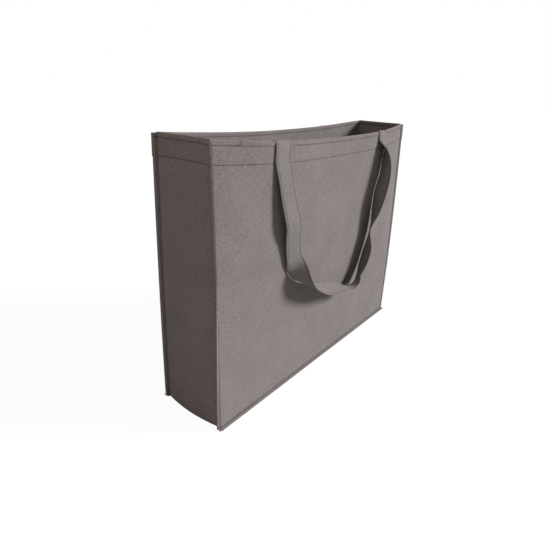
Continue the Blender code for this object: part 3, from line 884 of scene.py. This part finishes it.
for side, end in ((-1, "front"), (1, "back")):
    route = band_route(end)
    middles = np.array([place for place, across in route])
    acrosses = np.array([across for place, across in route])
    acrosses /= np.linalg.norm(acrosses, axis=1, keepdims=True)
    knots = np.concatenate([[0], np.cumsum(np.linalg.norm(np.diff(middles, axis=0), axis=1))])
    tight = [k for k in range(len(knots) - 1) if knots[k + 1] - knots[k] < TIGHT_BEND]
    bends = [knots[k] + (knots[k + 1] - knots[k]) * s for k in tight for s in (0.25, 0.5, 0.75)]
    stations = np.unique(np.concatenate([steps(0, knots[-1], BAND_STEP), knots, bends]))
    line = smooth_line(knots, middles, stations)
    cross = smooth_line(knots, acrosses, stations)
    line[:, 1] *= -1  # the route counts outward, and outward is -Y at the front
    cross[:, 1] *= -1
    tangent = directions(line[:, None, :], 0)[:, 0, :]
    cross -= tangent * np.sum(cross * tangent, axis=1, keepdims=True)
    cross /= np.linalg.norm(cross, axis=1, keepdims=True)
    face = np.cross(cross, tangent)
    # The back handle hangs as the front one does, turned half round about the bag's upright axis.
    half_turn = np.array([1, 1, 1]) if side < 0 else np.array([-1, -1, 1])
    rings = (
        line[:, None, :]
        + cross[:, None, :] * ring_across[None, :, None] * BAND_WIDTH / 2
        + face[:, None, :] * ring_thick[None, :, None] * BAND_THICK / 2
    )
    rings = rings * half_turn
    shape = rings.shape[:2]
    flat = np.stack([np.broadcast_to(places, shape) for places in (band_flat, stations[:, None])], 2)
    # Painted shade: a dark line along each stitch row, where the row pulls a groove into the band.
    painted_groove_shade = np.exp(-(((np.abs(ring_across) - BAND_ROW) / ROW_SHADE) ** 2))
    worn = ease(np.abs(ring_across), 0.93, 0.99)
    marks = {"stitch_row": np.broadcast_to(painted_groove_shade, shape), "wear": np.broadcast_to(worn, shape)}
    corners, flat = rings.reshape(-1, 3), flat.reshape(-1, 2)
    band = link_mesh(f"{end}_handle_band", corners, tube_faces(*shape), band_cloth, flat, marks)
    rows = []
    for hand in (-1, 1):
        for outward in (-1, 1):
            path = line + cross * hand * BAND_ROW * BAND_WIDTH / 2
            path = path + face * outward * ROW_LEVEL * BAND_THICK / 2
            rows.append(stitch_row(path * half_turn, face * outward * half_turn))
    piece = stitch_mesh(f"{end}_handle_stitches", rows)
    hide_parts(f"{end}_handle_thread_bag_side", f"{end}_handle_thread_free_side")
    if end == "back":
        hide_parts("back_handle")
        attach(band, "back_handle_body")
        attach(piece, "back_handle_body")
        continue
    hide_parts("front_handle", "front_handle_end_left", "front_handle_end_right")
    near, far = (0, side * (inside + BEND_SPREAD), 0), (0, side * (outside - BEND_SPREAD), 0)
    for moved in (band, piece):
        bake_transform(moved)

# Sewn ends of the back handle. Each is the band's own end, lying flat on the panel with its raw edge turned
# under, and held by a box of stitches with a cross in it.
PATCH_TALL = 0.026
BOX_INSET = 0.0035
PATCH_PATTERN = 3.0

# The turned edge at the foot of a sewn end: shares of its height, and of the band's thickness there.
TURNED_EDGE = ((0.0, 0.15), (0.004, 0.62), (0.015, 0.93))
PLAIN_ROWS = 14

edge_heights, edge_thickness = np.array(TURNED_EDGE).T
height_shares = np.concatenate([edge_heights, np.linspace(0.04, 1.0, PLAIN_ROWS)])
thickness = np.concatenate([edge_thickness, np.ones(PLAIN_ROWS)])
for hand, place in ((-1, "left"), (1, "right")):
    middle_x = hand * STRAP_PLACE
    heights = BACK_BEND - PATCH_TALL + PATCH_TALL * height_shares
    level = float(panel_depth(1, middle_x, PATCH_HEIGHT)) + PATCH_LEVEL
    shape = (len(heights), len(ring_across))
    rings = np.stack([
        np.broadcast_to(middle_x + ring_across * BAND_WIDTH / 2, shape),
        level + ring_thick[None, :] * thickness[:, None] * BAND_THICK / 2,
        np.broadcast_to(heights[:, None], shape),
    ], 2)
    flat = np.stack([np.broadcast_to(band_flat + PATCH_PATTERN + hand, shape), rings[:, :, 2]], 2)
    marks = {"stitch_row": np.zeros(shape), "wear": np.zeros(shape)}
    corners, flat = rings.reshape(-1, 3), flat.reshape(-1, 2)
    faces = tube_faces(*shape, turn=-1)
    patch = link_mesh(f"back_handle_sewn_end_{place}", corners, faces, band_cloth, flat, marks)
    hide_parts(f"back_handle_end_{place}")
    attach(patch, "back_panel_body")
    reach = BAND_WIDTH / 2 - BOX_INSET
    low, high = BACK_BEND - PATCH_TALL + BOX_INSET, BACK_BEND - BOX_INSET
    box_corners = [(-reach, low), (reach, low), (reach, high), (-reach, high)]
    box_y = level + BAND_THICK / 2
    rows = []
    for line in ((0, 1), (1, 2), (2, 3), (3, 0), (0, 2), (1, 3)):
        ends = np.array([(middle_x + box_corners[k][0], box_y, box_corners[k][1]) for k in line])
        rows.append(stitch_row(ends, np.array([(0.0, 1.0, 0.0)] * 2)))
    box = stitch_mesh(f"back_handle_box_stitches_{place}", rows)
    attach(box, "back_panel_body")

# End of the upper hem row. The machine turns back on itself for three stitches to lock the row, and its
# thread is cut off short, with one end left standing over the rim.
TACK_PLACE = -0.1985
TACK_REACH = 0.007
TACK_PITCH = 0.0019
TACK_STITCH = 0.0017
TACK_RISE = 0.0005  # its stitches lie a little above the row that they lock
TACK_LIFT = 0.0003  # and on top of it
TAIL_LENGTH = 0.0055

tack_x = TACK_PLACE + TACK_REACH * np.linspace(0, 1, 12)
tack_face = panel_depth(-1, tack_x, np.full_like(tack_x, TALL - UPPER_ROW)) + TACK_LIFT
tack_z = TALL - UPPER_ROW - rim_drop(-1, tack_x) + TACK_RISE
tack = np.stack([tack_x, -tack_face, tack_z], 1)
outward = np.broadcast_to([0.0, -1.0, 0.0], tack.shape)
rows = [stitch_row(tack, outward, pitch=TACK_PITCH, length=TACK_STITCH)]
share = np.linspace(0, 1, 9)
loose = tack[-1] + np.stack([
    0.0012 * np.sin(2.4 * share), -0.0006 - 0.0005 * np.sin(3.0 * share), TAIL_LENGTH * share
], 1)
away = np.broadcast_to([0.0, -1.0, 0.0], loose.shape)
sideways = np.broadcast_to([1.0, 0.0, 0.0], loose.shape)
rows.append([(loose, sideways, away, np.full(9, THREAD / 2))])
tail = stitch_mesh("front_hem_thread_tail", rows)
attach(tail, "front_panel_body")
